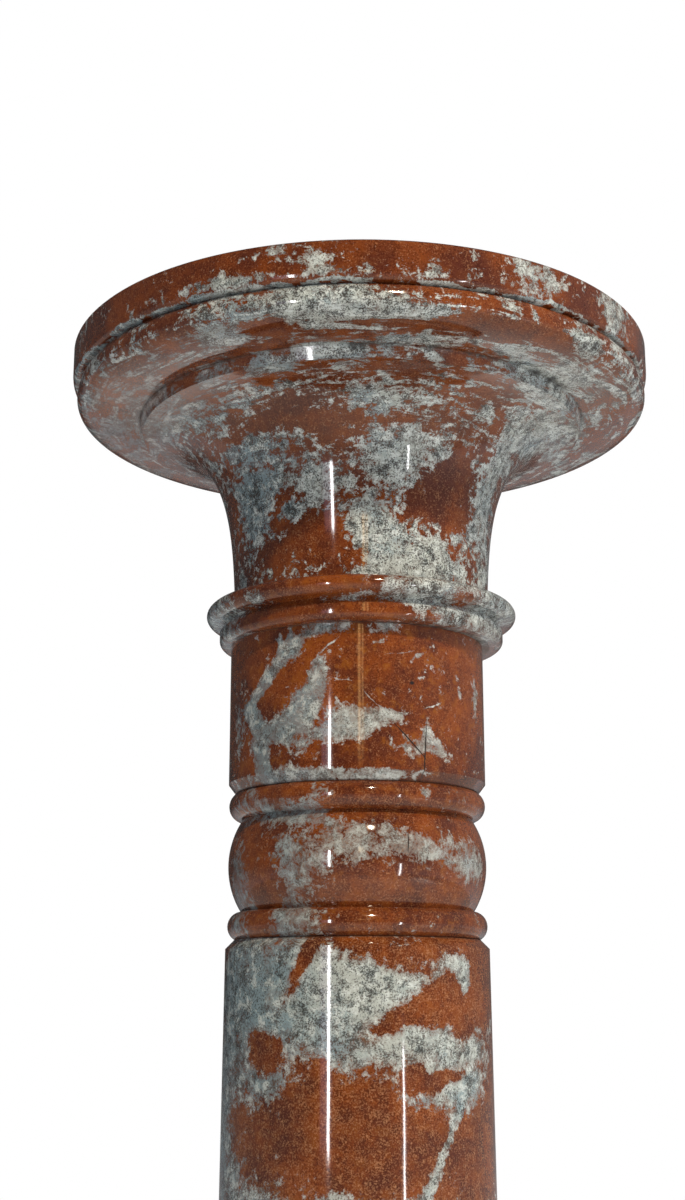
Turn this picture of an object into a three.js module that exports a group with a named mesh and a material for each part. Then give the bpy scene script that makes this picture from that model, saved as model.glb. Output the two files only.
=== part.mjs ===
// A polished marble pedestal column: eight turned stones, stacked from a round plinth to a round top.
// Millimetres, +Z up, origin at the middle of the underside.
import * as THREE from "three";

// Heights of the stones, from the floor up.
const PLINTH_HEIGHT = 40;
const FOOT_HEIGHT = 84;
const SHAFT_HEIGHT = 637.5;
const KNOP_HEIGHT = 75.5;
const DRUM_HEIGHT = 79;
const COLLAR_HEIGHT = 23;
const CAPITAL_HEIGHT = 121;
const SLAB_HEIGHT = 20;

// The stones above the drum were set a little off the shaft's axis, towards +X.
const CAPITAL_OFFSET = 2.4;
const SLAB_OFFSET = 1.7;

// Plinth: a plain round slab with eased edges.
const PLINTH_RADIUS = 165;
const PLINTH_EASE = 2;

// Foot: a half-round torus, a fillet and a flare that rises to the shaft.
const TORUS_RADIUS = 148;
const TORUS_BULGE = 12;
const TORUS_HEIGHT = 28;
const FOOT_FILLET_RADIUS = 132;
const FOOT_FILLET_HEIGHT = 5;
const FOOT_NECK_RADIUS = 78;
const FOOT_FLARE_REACH = 42;
const FOOT_FLARE_RISE = 26;

// Shaft: a slight taper, with a chamfered arris under the knop.
const SHAFT_FOOT_RADIUS = 73.5;
const SHAFT_TOP_RADIUS = 68.6;
const SHAFT_FOOT_EASE = 1.5;
const SHAFT_CHAMFER = 4.5;

// Knop: a bulb between two half-round beads, with sharp grooves beside the bulb.
const GROOVE_RADIUS = 60.8;
const BEAD_BULGE = 6.9;
const BEAD_HALF_HEIGHT = 7.4;
const LOWER_BEAD_MIDDLE = 6.8;
const BULB_MIDDLE = 37.8;
const BULB_BULGE = 6.9;

// Drum: a plain cylinder with a chamfered foot.
const DRUM_RADIUS = 68.1;
const DRUM_CHAMFER_DEPTH = 3.8;
const DRUM_CHAMFER_HEIGHT = 5;

// Collar: a narrow band below a bold bead, both overhanging the drum.
const COLLAR_SEAT_RADIUS = 72.5;
const BAND_RADIUS = 76.8;
const BAND_LOW = 3.6;
const BAND_HIGH = 8;
const COLLAR_QUIRK_RADIUS = 75;
const COLLAR_QUIRK_Z = 11;
const COLLAR_BEAD_MIDDLE = 17;
const COLLAR_BEAD_CORE = 78;
const COLLAR_BEAD_BULGE = 6;
const COLLAR_BEAD_HALF_HEIGHT = 5;
const COLLAR_TOP_RADIUS = 72;

// Capital: a trumpet bell, a square step at its lip and a full ovolo under the slab.
const NECK_RADIUS = 69.3;
const NECK_HEIGHT = 8;
const BELL_LIP_RADIUS = 121.5;
const BELL_LIP_Z = 97;
const BELL_REACH = 46;
const BELL_LEAN = 1.9;
const BELL_RISE = 40;
const SOFFIT_RADIUS = 123.5;
const SOFFIT_Z = 103.5;
const OVOLO_RADIUS = 158;
const OVOLO_MIDDLE = 113;
const OVOLO_REACH = 22.5;
const OVOLO_DROP = 7;
const CAPITAL_TOP_RADIUS = 154;

// Slab: a thick disc with a crisp upper arris and a rounded lower one.
const SLAB_RADIUS = 160;
const SLAB_ARRIS = 0.8;
const SLAB_ROUND_WIDTH = 2.5;
const SLAB_ROUND_HEIGHT = 5;

// Facets round each stone, and steps along the curves of a profile.
const SIDES = 48;
const STEPS = 8;
const BELL_STEPS = 10;
const BEAD_STEPS = 7;
const ROUND_STEPS = 4;

const QUARTER = Math.PI / 2;
const at = (radius, z) => new THREE.Vector2(radius, z);

// Part of an ellipse in the profile's plane: angles are measured from straight outwards, positive upwards.
function arc(core, middle, bulge, halfHeight, from, to, steps = STEPS) {
  const ellipse = new THREE.EllipseCurve(core, middle, bulge, halfHeight, from, to, to < from);
  return ellipse.getPoints(steps);
}

// A half-round bead, cut off at the stone's own bottom and top where it runs past them.
function bead(core, middle, bulge, halfHeight, bottom, top) {
  const angle = (z) => Math.asin(THREE.MathUtils.clamp((z - middle) / halfHeight, -1, 1));
  return arc(core, middle, bulge, halfHeight, angle(bottom), angle(top), BEAD_STEPS);
}

// A sweep between two points of the profile, drawn by the two handles of a cubic curve.
function sweep(start, startHandle, endHandle, end, steps = STEPS) {
  return new THREE.CubicBezierCurve(start, startHandle, endHandle, end).getPoints(steps);
}

function plinthProfile() {
  return [
    at(PLINTH_RADIUS - PLINTH_EASE, 0),
    at(PLINTH_RADIUS, PLINTH_EASE),
    at(PLINTH_RADIUS, PLINTH_HEIGHT - PLINTH_EASE),
    at(PLINTH_RADIUS - PLINTH_EASE, PLINTH_HEIGHT),
  ];
}

function footProfile() {
  const core = TORUS_RADIUS - TORUS_BULGE;
  const filletTop = TORUS_HEIGHT + FOOT_FILLET_HEIGHT;
  const flareStart = at(FOOT_FILLET_RADIUS, filletTop);
  const flareEnd = at(FOOT_NECK_RADIUS, FOOT_HEIGHT);
  return [
    ...bead(core, TORUS_HEIGHT / 2, TORUS_BULGE, TORUS_HEIGHT / 2, 0, TORUS_HEIGHT),
    at(FOOT_FILLET_RADIUS, TORUS_HEIGHT),
    ...sweep(
      flareStart,
      at(FOOT_FILLET_RADIUS - FOOT_FLARE_REACH, filletTop),
      at(FOOT_NECK_RADIUS, FOOT_HEIGHT - FOOT_FLARE_RISE),
      flareEnd,
    ),
  ];
}

function shaftProfile() {
  return [
    at(SHAFT_FOOT_RADIUS - SHAFT_FOOT_EASE, 0),
    at(SHAFT_FOOT_RADIUS, SHAFT_FOOT_EASE),
    at(SHAFT_TOP_RADIUS, SHAFT_HEIGHT - SHAFT_CHAMFER),
    at(SHAFT_TOP_RADIUS - SHAFT_CHAMFER, SHAFT_HEIGHT),
  ];
}

function knopProfile() {
  const bulbLow = LOWER_BEAD_MIDDLE + BEAD_HALF_HEIGHT;
  const bulbHalf = BULB_MIDDLE - bulbLow;
  const bulbHigh = BULB_MIDDLE + bulbHalf;
  // The bulb is a flat arc of a circle whose ends are the two grooves.
  const bulbRadius = (bulbHalf ** 2 + BULB_BULGE ** 2) / (2 * BULB_BULGE);
  const bulbCentre = GROOVE_RADIUS + BULB_BULGE - bulbRadius;
  const bulbSpan = Math.asin(bulbHalf / bulbRadius);
  const lower = bead(GROOVE_RADIUS, LOWER_BEAD_MIDDLE, BEAD_BULGE, BEAD_HALF_HEIGHT, 0, bulbLow);
  const bulb = arc(bulbCentre, BULB_MIDDLE, bulbRadius, bulbRadius, -bulbSpan, bulbSpan);
  const upperMiddle = bulbHigh + BEAD_HALF_HEIGHT;
  const upper = bead(GROOVE_RADIUS, upperMiddle, BEAD_BULGE, BEAD_HALF_HEIGHT, bulbHigh, KNOP_HEIGHT);
  return [...lower, ...bulb.slice(1), ...upper.slice(1)];
}

function drumProfile() {
  return [
    at(DRUM_RADIUS - DRUM_CHAMFER_DEPTH, 0),
    at(DRUM_RADIUS, DRUM_CHAMFER_HEIGHT),
    at(DRUM_RADIUS, DRUM_HEIGHT),
  ];
}

function collarProfile() {
  const bandDepth = BAND_RADIUS - COLLAR_SEAT_RADIUS;
  const beadLow = COLLAR_BEAD_MIDDLE - COLLAR_BEAD_HALF_HEIGHT;
  return [
    ...arc(COLLAR_SEAT_RADIUS, BAND_LOW, bandDepth, BAND_LOW, -QUARTER, 0, ROUND_STEPS),
    at(BAND_RADIUS, BAND_HIGH),
    at(COLLAR_QUIRK_RADIUS, COLLAR_QUIRK_Z),
    ...bead(
      COLLAR_BEAD_CORE,
      COLLAR_BEAD_MIDDLE,
      COLLAR_BEAD_BULGE,
      COLLAR_BEAD_HALF_HEIGHT,
      beadLow,
      COLLAR_BEAD_MIDDLE + COLLAR_BEAD_HALF_HEIGHT,
    ),
    at(COLLAR_TOP_RADIUS, COLLAR_HEIGHT),
  ];
}

function capitalProfile() {
  const bell = sweep(
    at(NECK_RADIUS, NECK_HEIGHT),
    at(NECK_RADIUS + BELL_LEAN, NECK_HEIGHT + BELL_RISE),
    at(BELL_LIP_RADIUS - BELL_REACH, BELL_LIP_Z),
    at(BELL_LIP_RADIUS, BELL_LIP_Z),
    BELL_STEPS,
  );
  const underside = sweep(
    at(SOFFIT_RADIUS, SOFFIT_Z),
    at(SOFFIT_RADIUS + OVOLO_REACH, SOFFIT_Z),
    at(OVOLO_RADIUS, OVOLO_MIDDLE - OVOLO_DROP),
    at(OVOLO_RADIUS, OVOLO_MIDDLE),
  );
  const shoulder = arc(
    CAPITAL_TOP_RADIUS,
    OVOLO_MIDDLE,
    OVOLO_RADIUS - CAPITAL_TOP_RADIUS,
    CAPITAL_HEIGHT - OVOLO_MIDDLE,
    0,
    QUARTER,
    ROUND_STEPS,
  );
  return [at(NECK_RADIUS, 0), ...bell, ...underside, ...shoulder.slice(1)];
}

function slabProfile() {
  return [
    ...arc(
      SLAB_RADIUS - SLAB_ROUND_WIDTH,
      SLAB_ROUND_HEIGHT,
      SLAB_ROUND_WIDTH,
      SLAB_ROUND_HEIGHT,
      -QUARTER,
      0,
      ROUND_STEPS,
    ),
    at(SLAB_RADIUS, SLAB_HEIGHT - SLAB_ARRIS),
    at(SLAB_RADIUS - SLAB_ARRIS, SLAB_HEIGHT),
  ];
}

// Turns a profile, given from the bottom up, into a closed stone that stands on its own z = 0.
function turn(name, profile, height, colour) {
  const outline = [at(0, 0), ...profile, at(0, height)];
  const geometry = new THREE.LatheGeometry(outline, SIDES);
  geometry.rotateX(QUARTER);
  const material = new THREE.MeshStandardMaterial({ color: colour, roughness: 0.12, metalness: 0 });
  const stone = new THREE.Mesh(geometry, material);
  stone.name = name;
  return stone;
}

// Each stone's own mix of rust red and grey.
const STONES = [
  { name: "plinth", height: PLINTH_HEIGHT, profile: plinthProfile(), colour: "#7c4a35", offset: 0 },
  { name: "foot", height: FOOT_HEIGHT, profile: footProfile(), colour: "#7f4e39", offset: 0 },
  { name: "shaft", height: SHAFT_HEIGHT, profile: shaftProfile(), colour: "#85594a", offset: 0 },
  { name: "knop", height: KNOP_HEIGHT, profile: knopProfile(), colour: "#86543c", offset: 0 },
  { name: "neck_drum", height: DRUM_HEIGHT, profile: drumProfile(), colour: "#84452a", offset: 0 },
  {
    name: "collar_ring",
    height: COLLAR_HEIGHT,
    profile: collarProfile(),
    colour: "#8b6349",
    offset: CAPITAL_OFFSET,
  },
  {
    name: "capital",
    height: CAPITAL_HEIGHT,
    profile: capitalProfile(),
    colour: "#7e5546",
    offset: CAPITAL_OFFSET,
  },
  {
    name: "top_slab",
    height: SLAB_HEIGHT,
    profile: slabProfile(),
    colour: "#7d4a35",
    offset: SLAB_OFFSET,
  },
];

const column = new THREE.Group();
let bed = 0;
for (const { name, height, profile, colour, offset } of STONES) {
  const stone = turn(name, profile, height, colour);
  stone.position.set(offset, 0, bed);
  column.add(stone);
  bed += height;
}

export default column;
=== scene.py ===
"""A polished marble pedestal column: eight turned stones with clouds, veins, cracks and painted shade in
the joints.
"""
import math
from typing import NamedTuple

import bpy
from bpy.props import FloatProperty, FloatVectorProperty, IntProperty, PointerProperty
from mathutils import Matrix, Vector


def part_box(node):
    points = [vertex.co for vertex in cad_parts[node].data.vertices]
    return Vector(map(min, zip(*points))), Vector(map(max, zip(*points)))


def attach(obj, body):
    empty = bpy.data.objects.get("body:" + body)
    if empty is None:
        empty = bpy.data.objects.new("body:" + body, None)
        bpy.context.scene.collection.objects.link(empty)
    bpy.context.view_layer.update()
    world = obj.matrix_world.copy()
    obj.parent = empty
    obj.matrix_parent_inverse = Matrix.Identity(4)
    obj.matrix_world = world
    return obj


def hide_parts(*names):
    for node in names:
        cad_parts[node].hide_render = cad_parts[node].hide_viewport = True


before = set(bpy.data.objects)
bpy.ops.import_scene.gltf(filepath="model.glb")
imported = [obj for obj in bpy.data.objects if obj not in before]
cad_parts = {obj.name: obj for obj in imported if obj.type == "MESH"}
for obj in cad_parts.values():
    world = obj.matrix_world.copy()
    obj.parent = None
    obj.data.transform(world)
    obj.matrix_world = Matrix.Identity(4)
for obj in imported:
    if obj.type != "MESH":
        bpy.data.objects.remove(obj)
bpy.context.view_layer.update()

bl_info = {
    "name": "Marble Pedestal Column",
    "version": (1, 0, 0),
    "blender": (4, 5, 0),
    "location": "View3D > Sidebar > Column",
    "description": "Turns the stones of a marble pedestal column and dresses them in red and grey marble",
    "category": "Object",
}

MM = 0.001
QUARTER = math.pi / 2


def length(name, description, millimetres):
    """A size that a user may change, given in millimetres and kept in metres."""
    return FloatProperty(
        name=name, description=description, default=millimetres * MM, min=0.0, precision=4, unit="LENGTH"
    )


def colour(name, description, default):
    return FloatVectorProperty(
        name=name, description=description, default=default, min=0.0, max=1.0, size=3, subtype="COLOR"
    )


def share(name, description, default, top=1.0):
    return FloatProperty(name=name, description=description, default=default, min=0.0, max=top)


class BaseSizes(bpy.types.PropertyGroup):
    """Plinth and foot."""

    plinth_ease: length("Plinth ease", "Rounding of the plinth's edges", 2)
    torus_bulge: length("Torus bulge", "How far the foot's torus swells", 12)
    torus_height: length("Torus height", "Height of the foot's torus", 28)
    fillet_radius: length("Fillet radius", "Radius of the fillet on the torus", 132)
    fillet_height: length("Fillet height", "Height of the fillet on the torus", 5)
    neck_radius: length("Foot neck", "Radius of the foot under the shaft", 78)
    flare_reach: length("Flare reach", "How far the foot's flare runs out flat", 42)
    flare_rise: length("Flare rise", "How far the foot's flare runs upright", 26)


class ShaftSizes(bpy.types.PropertyGroup):
    """Shaft, knop and drum."""

    shaft_top: length("Shaft top", "Radius of the shaft under the knop", 68.6)
    shaft_ease: length("Shaft ease", "Easing of the shaft's lower edge", 1.5)
    shaft_chamfer: length("Shaft chamfer", "Chamfer of the shaft's upper arris", 4.5)
    groove_radius: length("Knop groove", "Radius at the bottom of the grooves beside the bulb", 60.8)
    bead_bulge: length("Bead bulge", "How far the knop's beads swell", 6.9)
    bead_half: length("Bead half height", "Half the height of a knop bead", 7.4)
    bead_middle: length("Lower bead", "Height of the lower bead's middle", 6.8)
    bulb_middle: length("Bulb middle", "Height of the bulb's middle", 37.8)
    bulb_bulge: length("Bulb bulge", "How far the bulb swells", 6.9)
    drum_chamfer_depth: length("Drum chamfer depth", "Depth of the chamfer under the drum", 3.8)
    drum_chamfer_height: length("Drum chamfer height", "Height of the chamfer under the drum", 5)


class CapitalSizes(bpy.types.PropertyGroup):
    """Collar, capital and slab."""

    collar_seat: length("Collar seat", "Radius of the collar's underside", 72.5)
    band_radius: length("Band radius", "Radius of the collar's lower band", 76.8)
    band_low: length("Band rounding", "Height of the rounding under the band", 3.6)
    band_high: length("Band height", "Height of the band's upper edge", 8)
    quirk_radius: length("Quirk radius", "Radius of the quirk between band and bead", 75)
    quirk_height: length("Quirk height", "Height of the quirk between band and bead", 11)
    bead_core: length("Collar bead core", "Radius that the collar's bead swells from", 78)
    bead_bulge: length("Collar bead bulge", "How far the collar's bead swells", 6)
    bead_middle: length("Collar bead middle", "Height of the collar bead's middle", 17)
    bead_half: length("Collar bead half", "Half the height of the collar's bead", 5)
    collar_top: length("Collar top", "Radius of the collar under the bell", 72)
    neck_radius: length("Bell neck", "Radius of the bell's neck", 69.3)
    neck_height: length("Bell neck height", "Height of the straight neck", 8)
    lip_radius: length("Lip radius", "Radius of the bell's lip", 121.5)
    lip_height: length("Lip height", "Height of the bell's lip", 97)
    bell_reach: length("Bell reach", "How far the bell runs out flat to its lip", 46)
    bell_lean: length("Bell lean", "How far the bell leans out above the neck", 1.9)
    bell_rise: length("Bell rise", "How far the bell runs upright above the neck", 40)
    soffit_radius: length("Soffit radius", "Inner radius of the soffit", 123.5)
    soffit_height: length("Soffit height", "Height of the soffit", 103.5)
    ovolo_middle: length("Ovolo nose", "Height of the ovolo's widest line", 113)
    ovolo_reach: length("Ovolo reach", "How far the soffit runs out flat", 22.5)
    ovolo_drop: length("Ovolo drop", "How far the ovolo runs upright under its nose", 7)
    shoulder_radius: length("Shoulder radius", "Radius of the capital's top", 154)
    slab_arris: length("Slab arris", "Easing of the slab's upper arris", 0.8)
    slab_round_width: length("Slab rounding", "Width of the rounding under the slab's edge", 2.5)
    slab_round_height: length("Slab rounding height", "Height of the rounding under the slab's edge", 5)


class MarbleColours(bpy.types.PropertyGroup):
    """Colours of the marble."""

    rust: colour("Rust", "Main red of the marble", (0.225, 0.054, 0.010))
    deep: colour("Deep red", "Dark red clouds", (0.090, 0.022, 0.011))
    amber: colour("Amber", "Warm orange clouds", (0.270, 0.085, 0.010))
    tan: colour("Tan", "Pale grains in the red", (0.42, 0.21, 0.10))
    pale: colour("Pale grey", "Warm grey of the clouds", (0.47, 0.525, 0.515))
    cool: colour("Cool grey", "Blue grey of the clouds", (0.235, 0.345, 0.40))
    milk: colour("Milk", "White hearts of the clouds", (0.66, 0.73, 0.74))
    # Soot also serves as the painted shade along the joints and in the capital's inner corner.
    soot: colour("Soot", "Dark grains, cracks and dirt", (0.018, 0.016, 0.015))
    polish: share("Roughness", "Roughness of the polish", 0.07)


class StudioSettings(bpy.types.PropertyGroup):
    """Floor, light and camera."""

    floor_radius: length("Floor radius", "Radius of the floor", 3000)
    floor_colour: colour("Floor", "Colour of the floor", (0.82, 0.82, 0.81))
    floor_glow: share("Floor glow", "Glow of the floor, for its reflection", 0.18, 10)
    room_left: share("Room left", "Brightness of the room on the left", 0.15, 10)
    room_front: share("Room front", "Brightness of the room before and behind the column", 0.07, 10)
    room_right: share("Room right", "Brightness of the room on the right", 0.36, 10)
    room_below: share("Room below", "Brightness of the room under eye level", 0.45, 10)
    camera_height: length("Camera height", "Height of the camera", 732.7)
    camera_distance: length("Camera distance", "Distance of the camera from the shaft's axis", 844.6)
    camera_side: length("Camera side", "How far the camera stands left of the axis", 7.73)
    camera_tilt: FloatProperty(
        name="Camera tilt", description="Tilt upwards", default=math.radians(14.066), subtype="ANGLE"
    )
    lens: FloatProperty(name="Lens", description="Focal length in mm on a 36 mm sensor", default=47.61)
    sides: IntProperty(name="Sides", description="Facets round each stone", default=160, min=24)


class Cloud(NamedTuple):
    """A cloud or vein: angle from the front in degrees, height over the stone's bed, half length and half
    breadth in mm, tilt in degrees (its right end up), and strength: above 0 it is grey, below 0 red."""

    angle: float
    height: float
    wide: float
    high: float
    tilt: float
    strength: float


class Look(NamedTuple):
    """How a stone's marble is mixed.

    Bias above 0 means more grey. Blotch is the size of the large patches in mm. Ragged, tatter and shred
    are the pull of large, middle and small noise. Crackle darkens the grey. Amber, dark and bloom tint the
    red. Veil is how opaque the grey is, crisp how sharp its edges are and milk how white its hearts are.
    Streak draws the pattern out round the axis. Beyond the radii seat and crown, in mm, the lower and the
    upper joint get no painted shade. Corner is the radius and height of an inner corner painted with shade,
    in mm."""

    bias: float
    blotch: float
    ragged: float
    tatter: float
    crackle: float
    amber: float
    veil: float
    seed: float
    clouds: tuple = ()
    cracks: tuple = ()
    streak: float = 0.0
    seat: float = 1000.0
    corner: tuple = ()
    shred: float = 1.0
    dark: float = 0.0
    bloom: float = 0.5
    milk: float = 0.8
    crisp: float = 0.55
    crown: float = 1000.0


SHAFT = Look(
    bias=-0.22,
    blotch=42,
    ragged=2.2,
    tatter=1.3,
    crackle=0.5,
    amber=0.4,
    veil=0.95,
    seed=3.0,
    bloom=0.8,
    clouds=(
        Cloud(-24, 605, 40, 24, 0, 1.0),
        Cloud(2, 606, 22, 20, 0, 0.8),
        Cloud(34, 586, 20, 9, 8, 0.8),
        Cloud(42, 624, 9, 5, 10, 0.7),
        Cloud(49, 614, 4, 9, 0, 0.7),
        Cloud(31, 562, 22, 9, 10, 1.1),
        Cloud(54, 570, 12, 12, 0, 0.9),
        Cloud(35, 537, 29, 2.5, 60, 1.2),
        Cloud(-5, 506, 26, 9, 0, 0.7),
        Cloud(-42, 508, 14, 8, 0, 0.6),
        Cloud(-42, 567, 15, 11, 0, 0.8),
        Cloud(-72, 560, 15, 75, 0, 0.7),
        Cloud(-11, 519, 12, 7, 0, 0.6),
        Cloud(-24, 623, 14, 3, 60, -1.5),
        Cloud(12, 629, 26, 6, 0, -0.9),
        Cloud(-42, 584, 9, 6, -20, -1.3),
        Cloud(8, 595, 11, 5, 18, -1.2),
        Cloud(31, 605, 16, 6, 8, -1.3),
        Cloud(38, 612, 4, 6, 0, -1.0),
        Cloud(47, 597, 7, 8, -30, -1.1),
        Cloud(22, 573, 5, 3, 0, -1.2),
        Cloud(40, 572, 15, 3.4, 14, -1.2),
        Cloud(-12, 553, 38, 22, 0, -0.8),
        Cloud(28, 548, 15, 14, 0, -0.7),
        Cloud(58, 542, 12, 20, 0, -0.7),
        Cloud(63, 615, 9, 12, 0, -0.9),
        Cloud(138, 590, 20, 26, 0, 0.7),
        Cloud(-132, 540, 22, 30, 0, 0.6),
        Cloud(118, 440, 24, 30, 0, 0.6),
        Cloud(-112, 400, 24, 22, 0, 0.6),
        Cloud(10, 380, 34, 22, 12, 0.6),
        Cloud(-140, 260, 18, 30, 0, 0.6),
        Cloud(70, 250, 30, 26, -10, 0.6),
        Cloud(-40, 190, 36, 20, 8, 0.6),
        Cloud(140, 150, 18, 26, 0, 0.6),
        Cloud(20, 70, 30, 16, 0, 0.5),
    ),
)
DRUM = Look(
    bias=-0.42,
    blotch=34,
    ragged=1.5,
    tatter=2.0,
    crackle=0.2,
    amber=0.8,
    veil=0.72,
    seed=11.0,
    shred=1.8,
    clouds=(
        Cloud(-31, 66, 6, 4.5, 20, 1.1),
        Cloud(-36, 71, 4, 1.8, -60, 1.0),
        Cloud(-31, 73, 4, 1.7, 85, 1.0),
        Cloud(-26, 71, 5, 2, 40, 1.0),
        Cloud(-39.5, 57, 9, 3.4, 50, 1.1),
        Cloud(-49, 47, 10, 3, 36, 1.1),
        Cloud(-53, 37, 7, 3.4, -60, 1.0),
        Cloud(-48.5, 24, 12, 5, -72, 1.1),
        Cloud(-44.5, 9, 9, 4, -75, 1.0),
        Cloud(-17, 54, 7, 2.6, 85, 1.1),
        Cloud(-19, 45, 8, 4.4, 70, 1.0),
        Cloud(-23, 37, 8, 4.4, 58, 1.0),
        Cloud(-29, 30, 9, 5, 38, 1.0),
        Cloud(-38, 26, 10, 4.4, 20, 0.9),
        Cloud(-27, 42, 5, 6, 30, 0.4),
        Cloud(-35.5, 46, 7, 4, 35, -0.5),
        Cloud(-36, 17, 8, 6, 0, -0.3),
        Cloud(-25, 20, 12, 6, 0, 0.5),
        Cloud(-38, 20, 16, 9, 0, 0.3),
        Cloud(-9, 27, 13, 6, -8, 0.9),
        Cloud(3, 29, 10, 4, 5, 0.9),
        Cloud(14, 32, 10, 3.2, 4, 0.8),
        Cloud(-5, 22, 9, 5, 0, 0.7),
        Cloud(21, 18, 6, 4, -40, 0.7),
        Cloud(29.5, 23, 7, 2.6, 80, 0.9),
        Cloud(37, 15.5, 8, 3, -25, 1.0),
        Cloud(-30, 2.5, 36, 3.4, 0, 1.0),
        Cloud(12, 3, 20, 2.4, 0, 0.7),
        Cloud(64, 45, 3, 10, 0, 0.8),
        Cloud(50, 46, 2, 2.5, 0, 1.0),
        Cloud(-64, 36, 5, 14, 0, 0.6),
        Cloud(-13.5, 76.5, 10, 3, 0, 1.0),
        Cloud(12, 77, 7, 2.5, 0, 1.0),
        Cloud(8, 69, 4, 1.2, 20, 0.8),
        Cloud(-5, 48, 5, 0.35, -10, 0.8),
        Cloud(5, 40, 5, 0.3, -45, 0.8),
        Cloud(26, 62, 3.5, 0.9, 30, 1.0),
        Cloud(-12, 68, 4, 0.35, 40, 0.8),
        Cloud(18, 63, 6, 0.3, 8, 0.8),
        Cloud(33, 38, 5, 0.3, 20, 0.8),
    ),
    cracks=(
        Cloud(22.5, 19.5, 11, 0.32, -44, 1.0),
        Cloud(29.5, 15, 13, 0.30, 86, 1.0),
        Cloud(23.5, 49, 1.4, 1.1, 0, 0.7),
    ),
)
KNOP = Look(
    bias=-0.42,
    blotch=26,
    ragged=1.8,
    tatter=1.5,
    crackle=0.3,
    amber=0.6,
    veil=0.58,
    seed=23.0,
    shred=2.0,
    bloom=0.6,
    milk=0.3,
    clouds=(
        Cloud(-54, 65, 16, 6, 0, 0.8),
        Cloud(-29, 60, 14, 5, 0, 0.9),
        Cloud(-16, 70, 5, 3, 0, 0.8),
        Cloud(29, 69, 2.5, 2.5, 0, 1.0),
        Cloud(-24, 33, 18, 17, 0, 0.9),
        Cloud(27, 41, 34, 9, -8, 0.8),
        Cloud(60, 37, 9, 8, 0, 0.7),
        Cloud(-66, 30, 9, 15, 0, 0.8),
        Cloud(-44, 34, 9, 14, 0, -0.5),
        Cloud(-66, 7, 9, 6, 0, 0.8),
        Cloud(-30, 5, 12, 6, 0, 0.9),
        Cloud(-46, 9, 6, 3, 0, -0.8),
        Cloud(18, 24, 34, 8, 0, -0.6),
    ),
    cracks=(Cloud(21.5, 45, 5, 0.30, 86, 0.8),),
)
COLLAR = Look(
    bias=-0.25,
    blotch=24,
    ragged=1.8,
    tatter=1.6,
    crackle=0.8,
    amber=0.6,
    veil=0.85,
    seed=31.0,
    seat=69.5,
    clouds=(
        Cloud(-40, 15, 8, 4, 0, 0.9),
        Cloud(-75, 13, 24, 12, 0, 0.9),
        Cloud(-16, 16, 26, 5, 0, -1.2),
        Cloud(30, 15, 44, 7, 0, 0.9),
        Cloud(39, 14, 8, 3, 0, -1.0),
        Cloud(-9, 9, 14, 2.5, 0, 0.7),
        Cloud(-12, 4, 34, 4, 0, -1.0),
        Cloud(35, 5, 20, 5, 0, 0.6),
        Cloud(66, 10, 22, 12, 0, 0.9),
    ),
)
BELL_RADIUS = 78 * MM
BELL = (
    Cloud(-42, 154, 17, 7, 0, 0.9),
    Cloud(-42, 131, 20, 7, 0, 0.9),
    Cloud(-51, 114, 11, 13, 0, 0.9),
    Cloud(-29, 108, 10, 5, 0, 0.8),
    Cloud(-15, 124, 11, 6, 0, 0.8),
    Cloud(2, 102, 14, 10, 20, 0.8),
    Cloud(23, 82, 28, 12, 0, 1.0),
    Cloud(18, 139, 18, 14, 0, 0.9),
    Cloud(5, 181, 12, 10, 0, 0.9),
    Cloud(65, 127, 12, 42, 0, 0.7),
    Cloud(36, 123, 16, 17, 0, -1.1),
    Cloud(-18, 90, 16, 12, 0, -0.8),
    Cloud(-22, 166, 16, 14, 0, -0.6),
)
RIM = (
    Cloud(-8, 264, 34, 10, 0, 1.0),
    Cloud(-29, 251, 12, 7, 0, 0.9),
    Cloud(-7, 224, 16, 5, 0, 0.8),
    Cloud(-22, 217, 14, 6, 0, 0.7),
    Cloud(-72, 215, 40, 12, 0, 0.5),
    Cloud(-98, 235, 60, 26, 0, 0.35),
    Cloud(-60, 195, 26, 10, 0, 0.6),
    Cloud(27, 271, 5, 5, 30, 0.9),
    Cloud(32, 270, 3, 4, 0, 0.9),
    Cloud(12, 260, 8, 4, 30, 0.8),
    Cloud(9, 235, 10, 4, 0, 0.9),
    Cloud(47, 231, 34, 16, 0, 0.7),
    Cloud(74, 190, 40, 22, 0, 0.8),
    Cloud(46, 266, 9, 8, 0, 0.8),
    Cloud(31, 266, 18, 8, 0, -0.8),
    Cloud(-18, 254, 12, 6, 0, -0.9),
    Cloud(18, 256, 18, 5, 0, -0.7),
)
CAPITAL = Look(
    bias=-0.1,
    blotch=20,
    ragged=2.4,
    tatter=3.2,
    crackle=0.7,
    amber=0.2,
    veil=0.92,
    seed=47.0,
    shred=2.0,
    dark=0.12,
    bloom=0.6,
    milk=1.0,
    crisp=0.75,
    crown=154.4,
    streak=0.9,
    # The inner corner between the bell's lip and the soffit is darkened with painted shade.
    corner=(123.5, 103.5),
)
SLAB = Look(
    bias=-0.46,
    blotch=22,
    ragged=2.2,
    tatter=2.2,
    crackle=0.5,
    amber=0.2,
    veil=0.85,
    seed=59.0,
    seat=154.3,
    shred=2.2,
    dark=0.25,
    clouds=(
        Cloud(-15, 15, 10, 4, 0, 1.0),
        Cloud(-8, 10, 8, 4, 0, 0.9),
        Cloud(-25, 5, 14, 3, 0, 0.7),
        Cloud(12, 9, 3, 5, 0, 0.9),
        Cloud(20, 15, 2.5, 3, 40, 0.9),
        Cloud(33, 10, 18, 7, 0, 0.9),
        Cloud(54, 10, 14, 9, 0, 0.9),
        Cloud(-66, 12, 20, 9, 0, 0.4),
        # Painted reflection: a thin pale band along the slab's lower edge stands in for the light reflected
        # in its rounding.
        Cloud(-10, 0.0, 230, 0.6, 0, 1.6),
        Cloud(-10, 4, 60, 2.2, 0, 0.6),
    ),
)
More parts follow.
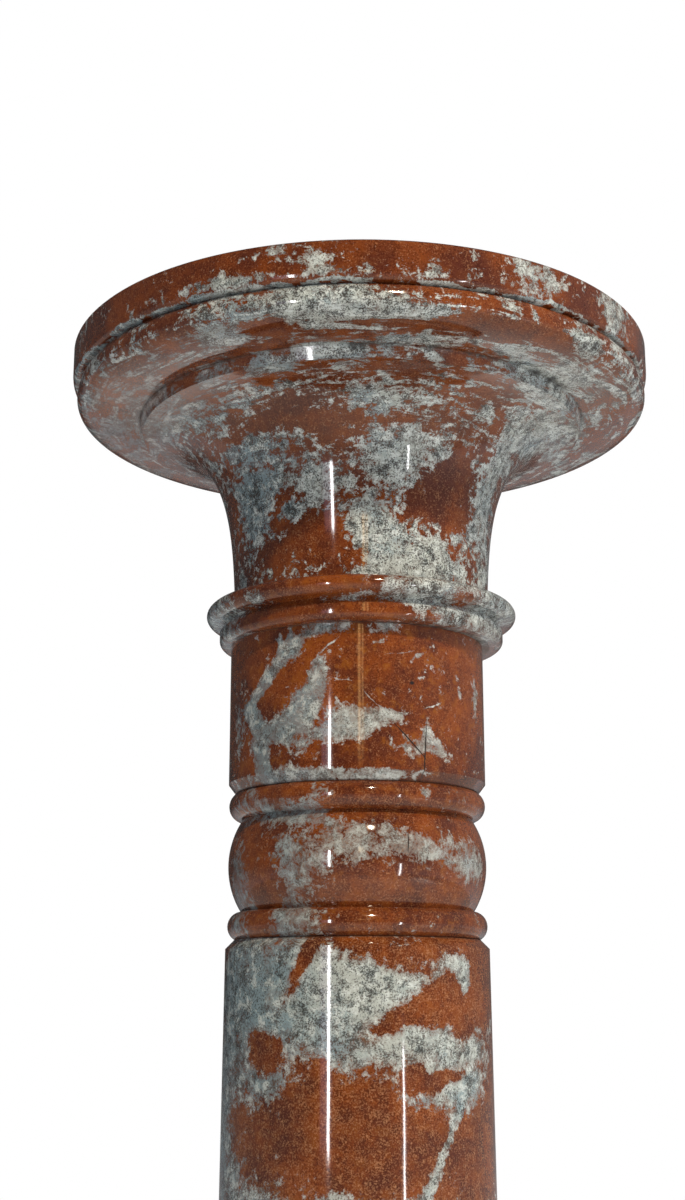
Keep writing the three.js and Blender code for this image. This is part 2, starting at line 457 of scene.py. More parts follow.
FOOT = Look(bias=-0.2, blotch=36, ragged=2.4, tatter=1.6, crackle=0.4, amber=0.5, veil=0.92, seed=71.0)
PLINTH = Look(bias=-0.3, blotch=40, ragged=2.4, tatter=1.6, crackle=0.3, amber=0.5, veil=0.92, seed=83.0)


class Wire:
    """A socket of a shader, so that sums on it read as Python."""

    def __init__(self, recipe, socket):
        self.recipe = recipe
        self.socket = socket

    def __add__(self, other):
        return self.recipe.sum("ADD", self, other)

    def __sub__(self, other):
        return self.recipe.sum("SUBTRACT", self, other)

    def __rsub__(self, other):
        return self.recipe.sum("SUBTRACT", other, self)

    def __mul__(self, other):
        return self.recipe.sum("MULTIPLY", self, other)

    __radd__ = __add__
    __rmul__ = __mul__


class Grain(NamedTuple):
    """A noise: size in mm, levels of detail, roughness of the levels, and how far it is twisted."""

    size: float
    detail: float
    rough: float
    twist: float = 0.0


class Recipe:
    """The nodes of a material or of the background."""

    def __init__(self, owner):
        owner.use_nodes = True
        self.owner = owner
        self.tree = owner.node_tree

    def put(self, socket, value):
        if isinstance(value, Wire):
            self.tree.links.new(value.socket, socket)
        else:
            socket.default_value = value

    def node(self, kind, settings=None, sockets=None, output=0):
        made = self.tree.nodes.new("ShaderNode" + kind)
        for name, value in (settings or {}).items():
            setattr(made, name, value)
        for place, value in (sockets or {}).items():
            self.put(made.inputs[place], value)
        return Wire(self, made.outputs[output])

    def parts(self, vector):
        """The three parts of a vector."""
        first = self.node("SeparateXYZ", None, {0: vector})
        return [Wire(self, socket) for socket in first.socket.node.outputs]

    def sum(self, operation, *values):
        return self.node("Math", {"operation": operation}, dict(enumerate(values)))

    def mix(self, factor, first, second):
        paints = [(*c, 1.0) if not isinstance(c, Wire) else c for c in (first, second)]
        return self.node("Mix", {"data_type": "RGBA"}, {0: factor, 6: paints[0], 7: paints[1]}, 2)

    def ease(self, value, low, high):
        """0 below low, 1 above high and smooth between them."""
        settings = {"interpolation_type": "SMOOTHSTEP"}
        return self.node("MapRange", settings, {"Value": value, "From Min": low, "From Max": high})

    def noise(self, place, grain, output=0):
        sockets = {
            "Vector": place,
            "Scale": 1 / (grain.size * MM),
            "Detail": grain.detail,
            "Roughness": grain.rough,
            "Distortion": grain.twist,
        }
        return self.node("TexNoise", None, sockets, output)

    def shift(self, place, vector):
        return self.node("VectorMath", {"operation": "ADD"}, {0: place, 1: vector})

    def finish(self, **sockets):
        shader = self.tree.nodes["Principled BSDF"]
        for name, value in sockets.items():
            self.put(shader.inputs[name.replace("_", " ").title()], value)
        return self.owner


# Noises of the marble, from large to small
WAVE = Grain(55, 2, 0.5)
PATCH = Grain(30, 6, 0.65)
BLOTCH = Grain(30, 9, 0.68, 0.8)
DRIFT = Grain(22, 5, 0.6)
STRAND = Grain(13, 5, 0.62, 0.8)
TATTER = Grain(9, 8, 0.72, 0.6)
STREAK = Grain(8, 8, 0.7, 1.2)
DUSK = Grain(7, 6, 0.72)
SHRED = Grain(3.6, 5, 0.68, 0.5)
SAND = Grain(0.9, 3, 0.6)
FLECK = Grain(0.8, 3, 0.65)
NOISE_MIDDLE = 0.5
SEED_SHARES = (1.0, 0.37, 0.61)

# Clouds and streaks
CLOUD_MARGIN = 1.95
CLOUD_WANDER = 9 * MM
CRACK_WANDER = 1.2 * MM
CRACK_EDGE = (0.25, 0.55)
STREAK_PULL = 30 * MM
STREAK_START = (66 * MM, 84 * MM)
SOFFIT_START = (92 * MM, 118 * MM)
SOFFIT_END = (150 * MM, 156 * MM)
SOFFIT_SHRED = 0.75
SOFFIT_SAND = 0.5
SOFFIT_FADE = 0.4
SAND_PULL = 0.6

# Where the grey begins, and how it thins out
CRISP_EDGE = (-0.10, 0.10)
SOFT_EDGE = (-0.15, 0.55)
THIN_EDGE = (0.36, 0.60)
THIN_DUSK = 0.6
THIN_GAIN = 1.2
THIN_LOSS = 0.6

# Tints of the grey
# Painted sheen: the grey is tinted cooler towards the stone's left side, standing in for a bluish
# reflection there.
LEFT_EDGE = (0.1, 1.0)
LEFT_COOL_SHEEN = 0.3
COOL_EDGE = (0.42, 0.70)
MILK_EDGE = (0.48, 0.64)
MILK_SHRED = 0.8
SHADE_EDGE = (0.48, 0.66)
SHADE_DEPTH = 0.35
SHADE_SHARE = 0.75
HAIR_EDGE = (0.004, 0.022)
HAIR_SHARE = 0.2
HAIR_CRACKLE = 0.5
PEPPER_EDGE = (0.53, 0.63)
PEPPER_SPREAD = (0.07, 0.06)
PEPPER_DUSK = 0.7
PEPPER_SHARE = 0.55
PEPPER_CRACKLE = 0.4

# Tints of the red
WARM_EDGE = (0.36, 0.64)
AMBER_EDGE = (0.50, 0.72)
BLOOM_EDGE = (0.66, 0.74)
BLOOM_SPREAD = 0.24
BLOOM_SHRED = 0.5
EMBER_EDGE = (0.50, 0.64)
EMBER_DUSK = 0.6
EMBER_DEPTH = 0.4
EMBER_SHARE = 0.6

# Painted shade along the joints and in an inner corner, and the polish
JOINT_SHADE_REACH = 1.1 * MM
JOINT_SHADE_RAGGED = 3 * MM
JOINT_SHADE_FADE = 1.6 * MM
JOINT_SHADE_SHARE = 0.7
JOINT_DULL = 0.4
UNSHADED_EDGE = 1 * MM
UNSHADED_LIFT = 10 * MM
CORNER_PULL = 0.35
POLISH_DUSK = 0.05
WAVE_STRENGTH = 0.05
WAVE_DEPTH = 4 * MM


class Surface(NamedTuple):
    """Where a point lies on a stone: angle from the front, height over the bed, distance from the axis."""

    point: Wire
    angle: Wire
    height: Wire
    radius: Wire


class Skin(NamedTuple):
    """The noises that a stone's marble is mixed from, and how far a point lies under the rim."""

    tatter: Wire
    shred: Wire
    sand: Wire
    patch: Wire
    dusk: Wire
    fleck: Wire
    strand: Wire
    under: Wire | None


class Chart(NamedTuple):
    """Clouds on a stone's skin laid flat at one radius. A slanted chart adds the radius to the height."""

    radius: float
    slanted: bool
    clouds: tuple


def surface(recipe, bed):
    point = recipe.node("TexCoord", None, None, "Object")
    x, y, z = recipe.parts(point)
    x = x - bed.axis
    angle = recipe.sum("ARCTAN2", x, 0 - y)
    radius = recipe.sum("SQRT", x * x + y * y)
    return Surface(point, angle, z - bed.low, radius)


def swing(noise):
    """A noise that runs above and below 0."""
    return noise - NOISE_MIDDLE


def laid_flat(recipe, spot, radius, height, wander):
    """The stone's skin laid flat, in metres, with its lines made to wander."""
    flat = recipe.node("CombineXYZ", None, {0: spot.angle * radius, 1: height})
    drift = recipe.noise(spot.point, DRIFT, output=1)
    middle = (NOISE_MIDDLE, NOISE_MIDDLE, NOISE_MIDDLE)
    centred = recipe.node("VectorMath", {"operation": "SUBTRACT"}, {0: drift, 1: middle})
    sockets = {0: centred, 1: (wander, wander, 0.0), 2: flat}
    return recipe.node("VectorMath", {"operation": "MULTIPLY_ADD"}, sockets)


def cloud_sum(recipe, flat, radius, clouds, total):
    """Adds the listed clouds of one chart to a running total."""
    for cloud in clouds:
        sockets = {
            "Vector": flat,
            "Location": (math.radians(cloud.angle) * radius, cloud.height * MM, 0.0),
            "Rotation": (0.0, 0.0, math.radians(cloud.tilt)),
            "Scale": (cloud.wide * MM * CLOUD_MARGIN, cloud.high * MM * CLOUD_MARGIN, 1.0),
        }
        turned = recipe.node("Mapping", {"vector_type": "TEXTURE"}, sockets)
        near = recipe.node("TexGradient", {"gradient_type": "SPHERICAL"}, {0: turned}, "Fac")
        total = recipe.sum("MULTIPLY_ADD", near, cloud.strength, total)
    return total


def skin_of(recipe, spot, look, seeded):
    grains = (TATTER, SHRED, SAND, PATCH, DUSK, FLECK, STRAND)
    skin = Skin(*(recipe.noise(seeded, grain) for grain in grains), None)
    if not look.streak:
        return skin
    across = recipe.sum("SINE", spot.angle) * STREAK_PULL
    along = recipe.sum("COSINE", spot.angle) * STREAK_PULL
    drawn = recipe.node("CombineXYZ", None, {0: across, 1: along, 2: spot.radius + spot.height})
    streak = recipe.noise(drawn, STREAK)
    drawn_out = recipe.ease(spot.radius, *STREAK_START) * look.streak
    under = recipe.ease(spot.radius, *SOFFIT_START) - recipe.ease(spot.radius, *SOFFIT_END)
    return skin._replace(
        tatter=skin.tatter + (streak - skin.tatter) * drawn_out,
        shred=swing(skin.shred) * (1 - under * SOFFIT_SHRED) + NOISE_MIDDLE,
        sand=swing(skin.sand) * (1 - under * SOFFIT_SAND) + NOISE_MIDDLE,
        under=under,
    )


def field_of(recipe, spot, look, skin, seeded, charts):
    """Above 0 where the marble is grey and below 0 where it is red."""
    blotch = recipe.noise(seeded, BLOTCH._replace(size=look.blotch))
    field = swing(blotch) * look.ragged + swing(skin.tatter) * look.tatter + look.bias
    field = field + swing(skin.shred) * look.shred + swing(skin.sand) * SAND_PULL
    for chart in charts:
        height = spot.height + spot.radius if chart.slanted else spot.height
        flat = laid_flat(recipe, spot, chart.radius, height, CLOUD_WANDER)
        field = cloud_sum(recipe, flat, chart.radius, chart.clouds, field)
    return field


def grey_share(recipe, look, skin, field, left):
    """How much of the grey shows over the red."""
    crisp = recipe.ease(field, *CRISP_EDGE) * look.crisp
    soft = recipe.ease(field, *SOFT_EDGE) * (1 - look.crisp)
    thin = recipe.ease(skin.tatter + swing(skin.dusk) * THIN_DUSK, *THIN_EDGE)
    clear = 1 - look.veil
    share_of_grey = (crisp + soft) * (thin * clear * THIN_GAIN + (look.veil - clear * THIN_LOSS))
    if skin.under:
        share_of_grey = share_of_grey * (1 - skin.under * left * SOFFIT_FADE)
    return share_of_grey


def darker(paint, depth):
    return tuple(part * depth for part in paint)


def grey_stone(recipe, look, skin, left, paints):
    # Painted sheen: the cool grey is pushed up on the left side, as a bluish reflection would tint it.
    cool = recipe.ease(skin.patch + left * LEFT_COOL_SHEEN, *COOL_EDGE)
    stone = recipe.mix(cool, paints.pale, paints.cool)
    milk = recipe.ease(skin.tatter + swing(skin.shred) * MILK_SHRED, *MILK_EDGE)
    stone = recipe.mix(milk * look.milk, stone, paints.milk)
    shade = recipe.ease(skin.dusk, *SHADE_EDGE)
    stone = recipe.mix(shade * SHADE_SHARE, stone, darker(paints.cool, SHADE_DEPTH))
    hair = 1 - recipe.ease(recipe.sum("ABSOLUTE", swing(skin.strand)), *HAIR_EDGE)
    stone = recipe.mix(hair * (HAIR_SHARE + look.crackle * HAIR_CRACKLE), stone, paints.soot)
    edge = (start - look.crackle * spread for start, spread in zip(PEPPER_EDGE, PEPPER_SPREAD))
    pepper = recipe.ease(skin.fleck + swing(skin.dusk) * PEPPER_DUSK, *edge)
    return recipe.mix(pepper * (PEPPER_SHARE + look.crackle * PEPPER_CRACKLE), stone, paints.soot)


def red_stone(recipe, look, skin, paints):
    stone = recipe.mix(recipe.ease(skin.patch, *WARM_EDGE), paints.deep, paints.rust)
    stone = recipe.mix(recipe.ease(skin.dusk, *AMBER_EDGE) * look.amber, stone, paints.amber)
    stone = recipe.mix(look.dark, stone, paints.deep)
    low, high = BLOOM_EDGE
    low = low - look.bloom * BLOOM_SPREAD
    bloom = recipe.ease(skin.fleck + swing(skin.shred) * BLOOM_SHRED, low, high)
    stone = recipe.mix(bloom * look.bloom, stone, paints.tan)
    ember = recipe.ease(1 - skin.fleck - swing(skin.dusk) * EMBER_DUSK, *EMBER_EDGE)
    return recipe.mix(ember * EMBER_SHARE, stone, darker(paints.deep, EMBER_DEPTH))


def joint_shade(recipe, spot, look, tall, dusk):
    """Mask of painted shade along the stone's lower and upper edge and in its inner corner."""
    seat, crown = look.seat * MM, look.crown * MM
    outside = recipe.ease(spot.radius, seat, seat + UNSHADED_EDGE) * UNSHADED_LIFT
    above = recipe.ease(spot.radius, crown, crown + UNSHADED_EDGE) * UNSHADED_LIFT
    edge = recipe.sum("MINIMUM", spot.height + outside, tall - spot.height + above)
    if look.corner:
        radius, height = look.corner
        aside = recipe.sum("ABSOLUTE", spot.radius - radius * MM)
        higher = recipe.sum("ABSOLUTE", spot.height - height * MM)
        edge = recipe.sum("MINIMUM", edge, (aside + higher) * CORNER_PULL)
    return recipe.ease(JOINT_SHADE_REACH - edge + swing(dusk) * JOINT_SHADE_RAGGED, 0.0, JOINT_SHADE_FADE)


def marble(name, look, bed, charts, paints):
    """One stone's marble."""
    recipe = Recipe(bpy.data.materials.new(name))
    spot = surface(recipe, bed)
    seeded = recipe.shift(spot.point, tuple(look.seed * part for part in SEED_SHARES))
    skin = skin_of(recipe, spot, look, seeded)
    left = recipe.ease(0 - spot.angle, *LEFT_EDGE)
    field = field_of(recipe, spot, look, skin, seeded, charts)
    red = red_stone(recipe, look, skin, paints)
    grey = grey_stone(recipe, look, skin, left, paints)
    body = recipe.mix(grey_share(recipe, look, skin, field, left), red, grey)
    if look.cracks:
        radius = charts[0].radius
        flat = laid_flat(recipe, spot, radius, spot.height, CRACK_WANDER)
        crack = cloud_sum(recipe, flat, radius, look.cracks, 0.0)
        body = recipe.mix(recipe.ease(crack, *CRACK_EDGE), body, paints.soot)
    # Painted shade: soot colour darkens the joints and the capital's inner corner, where shade falls; the
    # same mask also dulls the polish there.
    painted_shade = joint_shade(recipe, spot, look, bed.high - bed.low, skin.dusk)
    body = recipe.mix(painted_shade * JOINT_SHADE_SHARE, body, paints.soot)
    rough = swing(skin.dusk) * POLISH_DUSK + painted_shade * JOINT_DULL + paints.polish
    wave = recipe.noise(seeded, WAVE)
    bump = recipe.node("Bump", None, {"Strength": WAVE_STRENGTH, "Distance": WAVE_DEPTH, "Height": wave})
    return recipe.finish(base_color=body, roughness=rough, normal=bump)


EDGE_STEPS = 4
ROUND_STEPS = 8
BEAD_STEPS = 14
TORUS_STEPS = 20
CURVE_STEPS = 24
BELL_STEPS = 40
SMOOTH_ANGLE = math.radians(28)


def arc(core, middle, bulge, half, start, end, steps):
    """Part of an ellipse in a profile's plane, with angles measured from straight outwards."""
    turns = [start + (end - start) * step / steps for step in range(steps + 1)]
    return [(core + bulge * math.cos(turn), middle + half * math.sin(turn)) for turn in turns]


def bead(core, middle, bulge, half, bottom, top, steps=BEAD_STEPS):
    """A half-round bead, cut off where it runs past the stone's bottom or top."""
    angle = [math.asin(max(-1.0, min(1.0, (z - middle) / half))) for z in (bottom, top)]
    return arc(core, middle, bulge, half, *angle, steps)


def sweep(start, first, second, end, steps):
    """A cubic curve from start to end, drawn by two handles."""
    points = []
    for step in range(steps + 1):
        t = step / steps
        u = 1 - t
        weights = (u ** 3, 3 * u * u * t, 3 * u * t * t, t ** 3)
        pulls = list(zip(weights, (start, first, second, end)))
        points.append(tuple(sum(weight * point[part] for weight, point in pulls) for part in (0, 1)))
    return points


class Bed(NamedTuple):
    """Where a stone stands: its axis, its lower and upper bed and its greatest radius."""

    axis: float
    low: float
    high: float
    radius: float


def bed_of(node):
    low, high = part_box(node)
    return Bed((low.x + high.x) / 2, low.z, high.z, (high.x - low.x) / 2)


def turn(name, bed, profile, sides):
    """Raises a stone from its underside, ring by ring, along its profile."""
    bpy.ops.object.select_all(action="DESELECT")
    radius, height = profile[0]
    start = (bed.axis, 0.0, bed.low + height)
    bpy.ops.mesh.primitive_circle_add(vertices=sides, radius=radius, fill_type="NGON", location=start)
    stone = bpy.context.object
    stone.name = name
    bpy.ops.object.transform_apply(location=True, rotation=False, scale=False)
    bpy.ops.object.mode_set(mode="EDIT")
    bpy.ops.mesh.select_mode(type="FACE")
    bpy.ops.mesh.select_all(action="SELECT")
    for next_radius, next_height in profile[1:]:
        rise = (0.0, 0.0, next_height - height)
        bpy.ops.mesh.extrude_region_move(TRANSFORM_OT_translate={"value": rise})
        ratio = next_radius / radius
        middle = (bed.axis, 0.0, bed.low + next_height)
        bpy.ops.transform.resize(value=(ratio, ratio, 1.0), center_override=middle)
        radius, height = next_radius, next_height
    bpy.ops.mesh.select_all(action="SELECT")
    bpy.ops.mesh.normals_make_consistent(inside=False)
    bpy.ops.object.mode_set(mode="OBJECT")
    bpy.ops.object.shade_smooth_by_angle(angle=SMOOTH_ANGLE)
    return stone


def place(stone, node, slot, material):
    stone.data.materials.append(material)
    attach(stone, "root")
    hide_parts(node)


class StoneOperator:
    """What the eight operators share: a stone is turned, dressed and put in its node's place."""

    bl_options = {"REGISTER", "UNDO"}
    node = ""
    slot = ""
    look = None

    def charts(self, bed):
        return [Chart(bed.radius, False, self.look.clouds)]

    def execute(self, context):
        scene = context.scene
        bed = bed_of(self.node)
        stone = turn(f"{self.node}_stone", bed, self.profile(scene, bed), scene.studio_settings.sides)
        material = marble(self.slot, self.look, bed, self.charts(bed), scene.marble_colours)
        place(stone, self.node, self.slot, material)
        return {"FINISHED"}


class COLUMN_OT_plinth(StoneOperator, bpy.types.Operator):
    """Turn the round plinth"""

    bl_idname = "column.plinth"
    bl_label = "Plinth"
    node = "plinth"
    slot = "plinth_marble"
    look = PLINTH

    def profile(self, scene, bed):
        ease = scene.base_sizes.plinth_ease
        core = bed.radius - ease
        tall = bed.high - bed.low
        return [
            *arc(core, ease, ease, ease, -QUARTER, 0, EDGE_STEPS),
            *arc(core, tall - ease, ease, ease, 0, QUARTER, EDGE_STEPS),
        ]


class COLUMN_OT_foot(StoneOperator, bpy.types.Operator):
    """Turn the moulded foot"""

    bl_idname = "column.foot"
    bl_label = "Foot"
    node = "foot"
    slot = "foot_marble"
    look = FOOT

    def profile(self, scene, bed):
        sizes = scene.base_sizes
        tall = bed.high - bed.low
        half = sizes.torus_height / 2
        core = bed.radius - sizes.torus_bulge
        step = sizes.torus_height + sizes.fillet_height
        flare = sweep(
            (sizes.fillet_radius, step),
            (sizes.fillet_radius - sizes.flare_reach, step),
            (sizes.neck_radius, tall - sizes.flare_rise),
            (sizes.neck_radius, tall),
            CURVE_STEPS,
        )
        torus = bead(core, half, sizes.torus_bulge, half, 0, sizes.torus_height, TORUS_STEPS)
        return [*torus, (sizes.fillet_radius, sizes.torus_height), *flare]


class COLUMN_OT_shaft(StoneOperator, bpy.types.Operator):
    """Turn the tapered shaft"""

    bl_idname = "column.shaft"
    bl_label = "Shaft"
    node = "shaft"
    slot = "shaft_marble"
    look = SHAFT

    def profile(self, scene, bed):
        sizes = scene.shaft_sizes
        tall = bed.high - bed.low
        shoulder = tall - sizes.shaft_chamfer
        taper = [
            (
                bed.radius + (sizes.shaft_top - bed.radius) * step / CURVE_STEPS,
                sizes.shaft_ease + (shoulder - sizes.shaft_ease) * step / CURVE_STEPS,
            )
            for step in range(CURVE_STEPS + 1)
        ]
        return [(bed.radius - sizes.shaft_ease, 0.0), *taper, (sizes.shaft_top - sizes.shaft_chamfer, tall)]


class COLUMN_OT_knop(StoneOperator, bpy.types.Operator):
    """Turn the knop: a bulb between two beads"""

    bl_idname = "column.knop"
    bl_label = "Knop"
    node = "knop"
    slot = "knop_marble"
    look = KNOP

    def profile(self, scene, bed):
        sizes = scene.shaft_sizes
        core = sizes.groove_radius
        tall = bed.high - bed.low
        low = sizes.bead_middle + sizes.bead_half
        half = sizes.bulb_middle - low
        high = sizes.bulb_middle + half
        curve = (half ** 2 + sizes.bulb_bulge ** 2) / (2 * sizes.bulb_bulge)
        span = math.asin(half / curve)
        middle = core + sizes.bulb_bulge - curve
        bulb = arc(middle, sizes.bulb_middle, curve, curve, -span, span, CURVE_STEPS)
        lower = bead(core, sizes.bead_middle, sizes.bead_bulge, sizes.bead_half, 0, low)
        upper = bead(core, high + sizes.bead_half, sizes.bead_bulge, sizes.bead_half, high, tall)
        return [*lower, *bulb[1:], *upper[1:]]


class COLUMN_OT_drum(StoneOperator, bpy.types.Operator):
    """Turn the plain drum"""

    bl_idname = "column.drum"
    bl_label = "Drum"
    node = "neck_drum"
    slot = "drum_marble"
    look = DRUM

    def profile(self, scene, bed):
        sizes = scene.shaft_sizes
        tall = bed.high - bed.low
        return [
            (bed.radius - sizes.drum_chamfer_depth, 0.0),
            (bed.radius, sizes.drum_chamfer_height),
            (bed.radius, tall),
        ]


class COLUMN_OT_collar(StoneOperator, bpy.types.Operator):
    """Turn the collar ring"""

    bl_idname = "column.collar"
    bl_label = "Collar ring"
    node = "collar_ring"
    slot = "collar_marble"
    look = COLLAR

    def profile(self, scene, bed):
        sizes = scene.capital_sizes
        depth = sizes.band_radius - sizes.collar_seat
        low = sizes.bead_middle - sizes.bead_half
        high = sizes.bead_middle + sizes.bead_half
        swell = (sizes.bead_core, sizes.bead_middle, sizes.bead_bulge, sizes.bead_half)
        return [
            *arc(sizes.collar_seat, sizes.band_low, depth, sizes.band_low, -QUARTER, 0, ROUND_STEPS),
            (sizes.band_radius, sizes.band_high),
            (sizes.quirk_radius, sizes.quirk_height),
            *bead(*swell, low, high, CURVE_STEPS),
            (sizes.collar_top, bed.high - bed.low),
        ]


class COLUMN_OT_capital(StoneOperator, bpy.types.Operator):
    """Turn the capital: a bell and an ovolo"""

    bl_idname = "column.capital"
    bl_label = "Capital"
    node = "capital"
    slot = "capital_marble"
    look = CAPITAL

    def charts(self, bed):
        return [Chart(BELL_RADIUS, True, BELL), Chart(bed.radius, True, RIM)]

    def profile(self, scene, bed):
        sizes = scene.capital_sizes
        tall = bed.high - bed.low
        bell = sweep(
            (sizes.neck_radius, sizes.neck_height),
            (sizes.neck_radius + sizes.bell_lean, sizes.neck_height + sizes.bell_rise),
            (sizes.lip_radius - sizes.bell_reach, sizes.lip_height),
            (sizes.lip_radius, sizes.lip_height),
            BELL_STEPS,
        )
        underside = sweep(
            (sizes.soffit_radius, sizes.soffit_height),
            (sizes.soffit_radius + sizes.ovolo_reach, sizes.soffit_height),
            (bed.radius, sizes.ovolo_middle - sizes.ovolo_drop),
            (bed.radius, sizes.ovolo_middle),
            CURVE_STEPS,
        )
        swell = bed.radius - sizes.shoulder_radius
        rise = tall - sizes.ovolo_middle
        shoulder = arc(sizes.shoulder_radius, sizes.ovolo_middle, swell, rise, 0, QUARTER, ROUND_STEPS)
        return [(sizes.neck_radius, 0.0), *bell, *underside, *shoulder[1:]]


class COLUMN_OT_slab(StoneOperator, bpy.types.Operator):
    """Turn the top slab"""

    bl_idname = "column.slab"
    bl_label = "Top slab"
    node = "top_slab"
    slot = "slab_marble"
    look = SLAB

    def profile(self, scene, bed):
        sizes = scene.capital_sizes
        tall = bed.high - bed.low
        width, height = sizes.slab_round_width, sizes.slab_round_height
        return [
            *arc(bed.radius - width, height, width, height, -QUARTER, 0, ROUND_STEPS),
            (bed.radius, tall - sizes.slab_arris),
            (bed.radius - sizes.slab_arris, tall),
        ]


class Lamp(NamedTuple):
    """A lamp: angle from the camera's side in degrees, then distance, height, the height it faces, width
    and tallness in metres, glow and tint, whether it lights the stone and whether its polish shows it."""

    name: str
    angle: float
    distance: float
    height: float
    aim: float
    width: float
    tall: float
    glow: float
    tint: tuple
    fills: bool
    shines: bool


LAMPS = (
    Lamp("strip_left", -24, 2.0, 0.87, 0.87, 0.06, 0.70, 55, (1.0, 0.98, 1.0), False, True),
    Lamp("halo_left", -28, 2.0, 0.87, 0.87, 0.20, 0.70, 1.2, (0.85, 0.64, 0.95), False, True),
    Lamp("strip_right", 37, 2.0, 0.42, 0.42, 0.04, 0.52, 40, (1.0, 1.0, 1.0), False, True),
    Lamp("ceiling", 14, 1.9, 2.55, 0.86, 0.10, 0.10, 1300, (1.0, 0.84, 0.62), True, True),
    Lamp("key_right", 48, 2.2, 2.6, 0.86, 0.24, 0.24, 110, (1.0, 0.93, 0.84), True, False),
    Lamp("low_right", 62, 2.4, 0.30, 0.30, 0.16, 0.16, 120, (1.0, 0.95, 0.88), True, False),
    Lamp("front", 8, 2.4, 0.90, 0.90, 0.3, 0.3, 26, (1.0, 0.96, 0.92), True, False),
    Lamp("warm_wide", 1.5, 2.0, 1.27, 1.27, 0.07, 0.26, 6, (1.0, 0.55, 0.2), False, True),
    Lamp("warm_thin", 4.4, 2.0, 1.27, 1.27, 0.025, 0.26, 8, (1.0, 0.6, 0.25), False, True),
    Lamp("back", 180, 2.6, 1.5, 0.7, 0.6, 0.6, 36, (1.0, 0.97, 0.94), True, False),
)


FLOOR_SIDES = 96
FLOOR_ROUGHNESS = 0.6
SENSOR = 36.0
ROOM_TINT = (0.95, 0.97, 1.0, 1.0)
PAPER_WHITE = (1.0, 1.0, 1.0, 1.0)
FULL_BELOW = -0.25


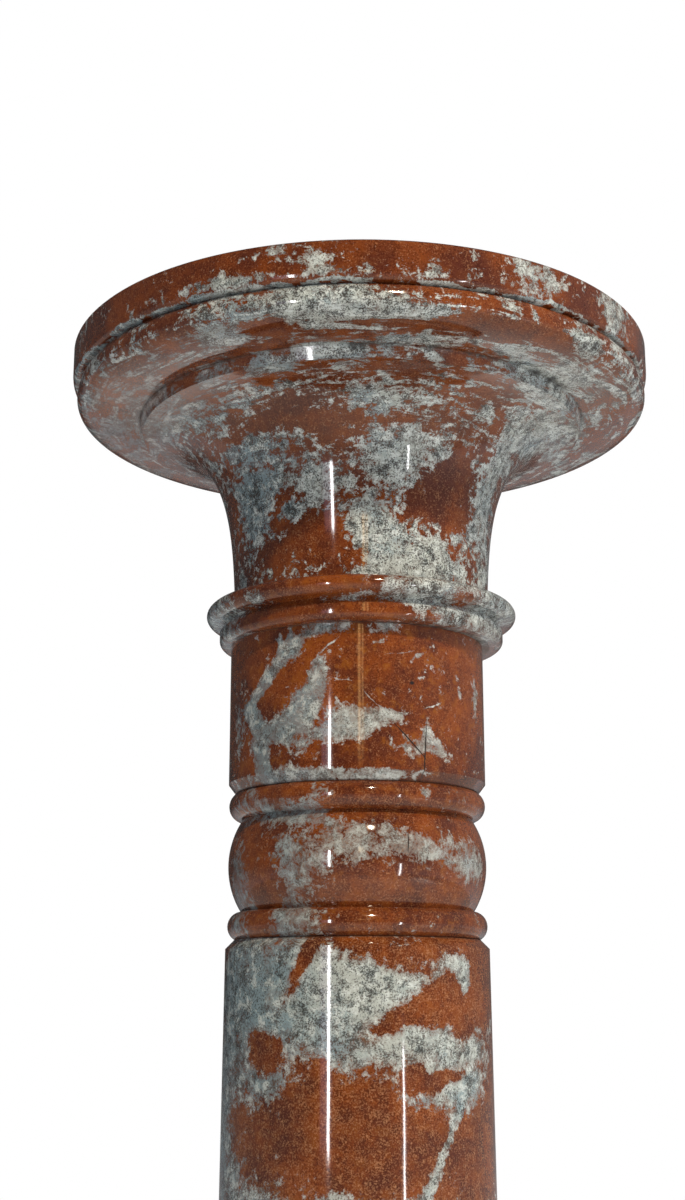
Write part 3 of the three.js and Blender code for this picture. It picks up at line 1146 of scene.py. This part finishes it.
class COLUMN_OT_stage(bpy.types.Operator):
    """Set up floor, light, background and camera"""

    bl_idname = "column.stage"
    bl_label = "Stage"
    bl_options = {"REGISTER", "UNDO"}

    def execute(self, context):
        studio = context.scene.studio_settings
        self.floor(studio)
        for lamp in LAMPS:
            self.hang(context, lamp)
        self.background(context.scene, studio)
        self.camera(context.scene, studio)
        context.scene.view_settings.view_transform = "Standard"
        return {"FINISHED"}

    def floor(self, studio):
        bpy.ops.object.select_all(action="DESELECT")
        radius = studio.floor_radius
        bpy.ops.mesh.primitive_circle_add(vertices=FLOOR_SIDES, radius=radius, fill_type="NGON")
        floor = bpy.context.object
        floor.name = "studio_floor"
        recipe = Recipe(bpy.data.materials.new("studio_floor"))
        paint = (*studio.floor_colour, 1.0)
        glow = {"emission_color": paint, "emission_strength": studio.floor_glow}
        floor.data.materials.append(recipe.finish(base_color=paint, roughness=FLOOR_ROUGHNESS, **glow))

    def hang(self, context, lamp):
        light = bpy.data.lights.new(lamp.name, "AREA")
        light.shape = "RECTANGLE"
        light.size = lamp.width
        light.size_y = lamp.tall
        light.energy = lamp.glow * math.pi * lamp.width * lamp.tall
        light.color = lamp.tint
        hung = bpy.data.objects.new(lamp.name, light)
        turn_angle = math.radians(lamp.angle)
        hung.location = (
            lamp.distance * math.sin(turn_angle),
            -lamp.distance * math.cos(turn_angle),
            lamp.height,
        )
        aim = Vector((0.0, 0.0, lamp.aim)) - hung.location
        hung.rotation_euler = aim.to_track_quat("-Z", "Y").to_euler()
        hung.visible_diffuse = lamp.fills
        hung.visible_glossy = lamp.shines
        context.scene.collection.objects.link(hung)

    def background(self, scene, studio):
        world = bpy.data.worlds.new("studio")
        recipe = Recipe(world)
        side, _, up = recipe.parts(recipe.node("TexCoord", None, None, "Generated"))
        across = recipe.node("FloatCurve", None, {"Value": side})
        mapping = across.socket.node.mapping
        mapping.use_clip = False
        points = mapping.curves[0].points
        points[0].location = (-1.0, studio.room_left)
        points[1].location = (1.0, studio.room_right)
        points.new(0.0, studio.room_front)
        mapping.update()
        sockets = {"Value": up, "From Min": 0.0, "From Max": FULL_BELOW, "To Max": studio.room_below}
        below = recipe.node("MapRange", None, sockets)
        room = recipe.node("Background", None, {"Color": ROOM_TINT, "Strength": across + below})
        paper = recipe.node("Background", None, {"Color": PAPER_WHITE})
        seen = recipe.node("LightPath", None, None, "Is Camera Ray")
        both = recipe.node("MixShader", None, {0: seen, 1: room, 2: paper})
        recipe.put(recipe.tree.nodes["World Output"].inputs["Surface"], both)
        scene.world = world

    def camera(self, scene, studio):
        lens = bpy.data.cameras.new("camera")
        lens.lens = studio.lens
        lens.sensor_width = SENSOR
        camera = bpy.data.objects.new("camera", lens)
        camera.location = (-studio.camera_side, -studio.camera_distance, studio.camera_height)
        camera.rotation_euler = (QUARTER + studio.camera_tilt, 0.0, 0.0)
        scene.collection.objects.link(camera)
        scene.camera = camera


PIECES = (
    COLUMN_OT_plinth,
    COLUMN_OT_foot,
    COLUMN_OT_shaft,
    COLUMN_OT_knop,
    COLUMN_OT_drum,
    COLUMN_OT_collar,
    COLUMN_OT_capital,
    COLUMN_OT_slab,
)
SETTINGS = {
    "base_sizes": BaseSizes,
    "shaft_sizes": ShaftSizes,
    "capital_sizes": CapitalSizes,
    "marble_colours": MarbleColours,
    "studio_settings": StudioSettings,
}


class COLUMN_PT_tools(bpy.types.Panel):
    """The column's operators and settings."""

    bl_label = "Marble column"
    bl_idname = "COLUMN_PT_tools"
    bl_space_type = "VIEW_3D"
    bl_region_type = "UI"
    bl_category = "Column"

    def draw(self, context):
        for operator in (*PIECES, COLUMN_OT_stage):
            self.layout.operator(operator.bl_idname)
        for group in SETTINGS:
            box = self.layout.box()
            box.label(text=group.replace("_", " ").capitalize())
            for name in SETTINGS[group].__annotations__:
                box.prop(getattr(context.scene, group), name)


CLASSES = (*SETTINGS.values(), *PIECES, COLUMN_OT_stage, COLUMN_PT_tools)


def register():
    for cls in CLASSES:
        bpy.utils.register_class(cls)
    for name, cls in SETTINGS.items():
        setattr(bpy.types.Scene, name, PointerProperty(type=cls))


def unregister():
    for name in SETTINGS:
        delattr(bpy.types.Scene, name)
    for cls in reversed(CLASSES):
        bpy.utils.unregister_class(cls)


def main():
    register()
    for piece in PIECES:
        getattr(bpy.ops.column, piece.bl_idname.split(".")[1])()
    bpy.ops.column.stage()


if __name__ == "__main__":
    main()
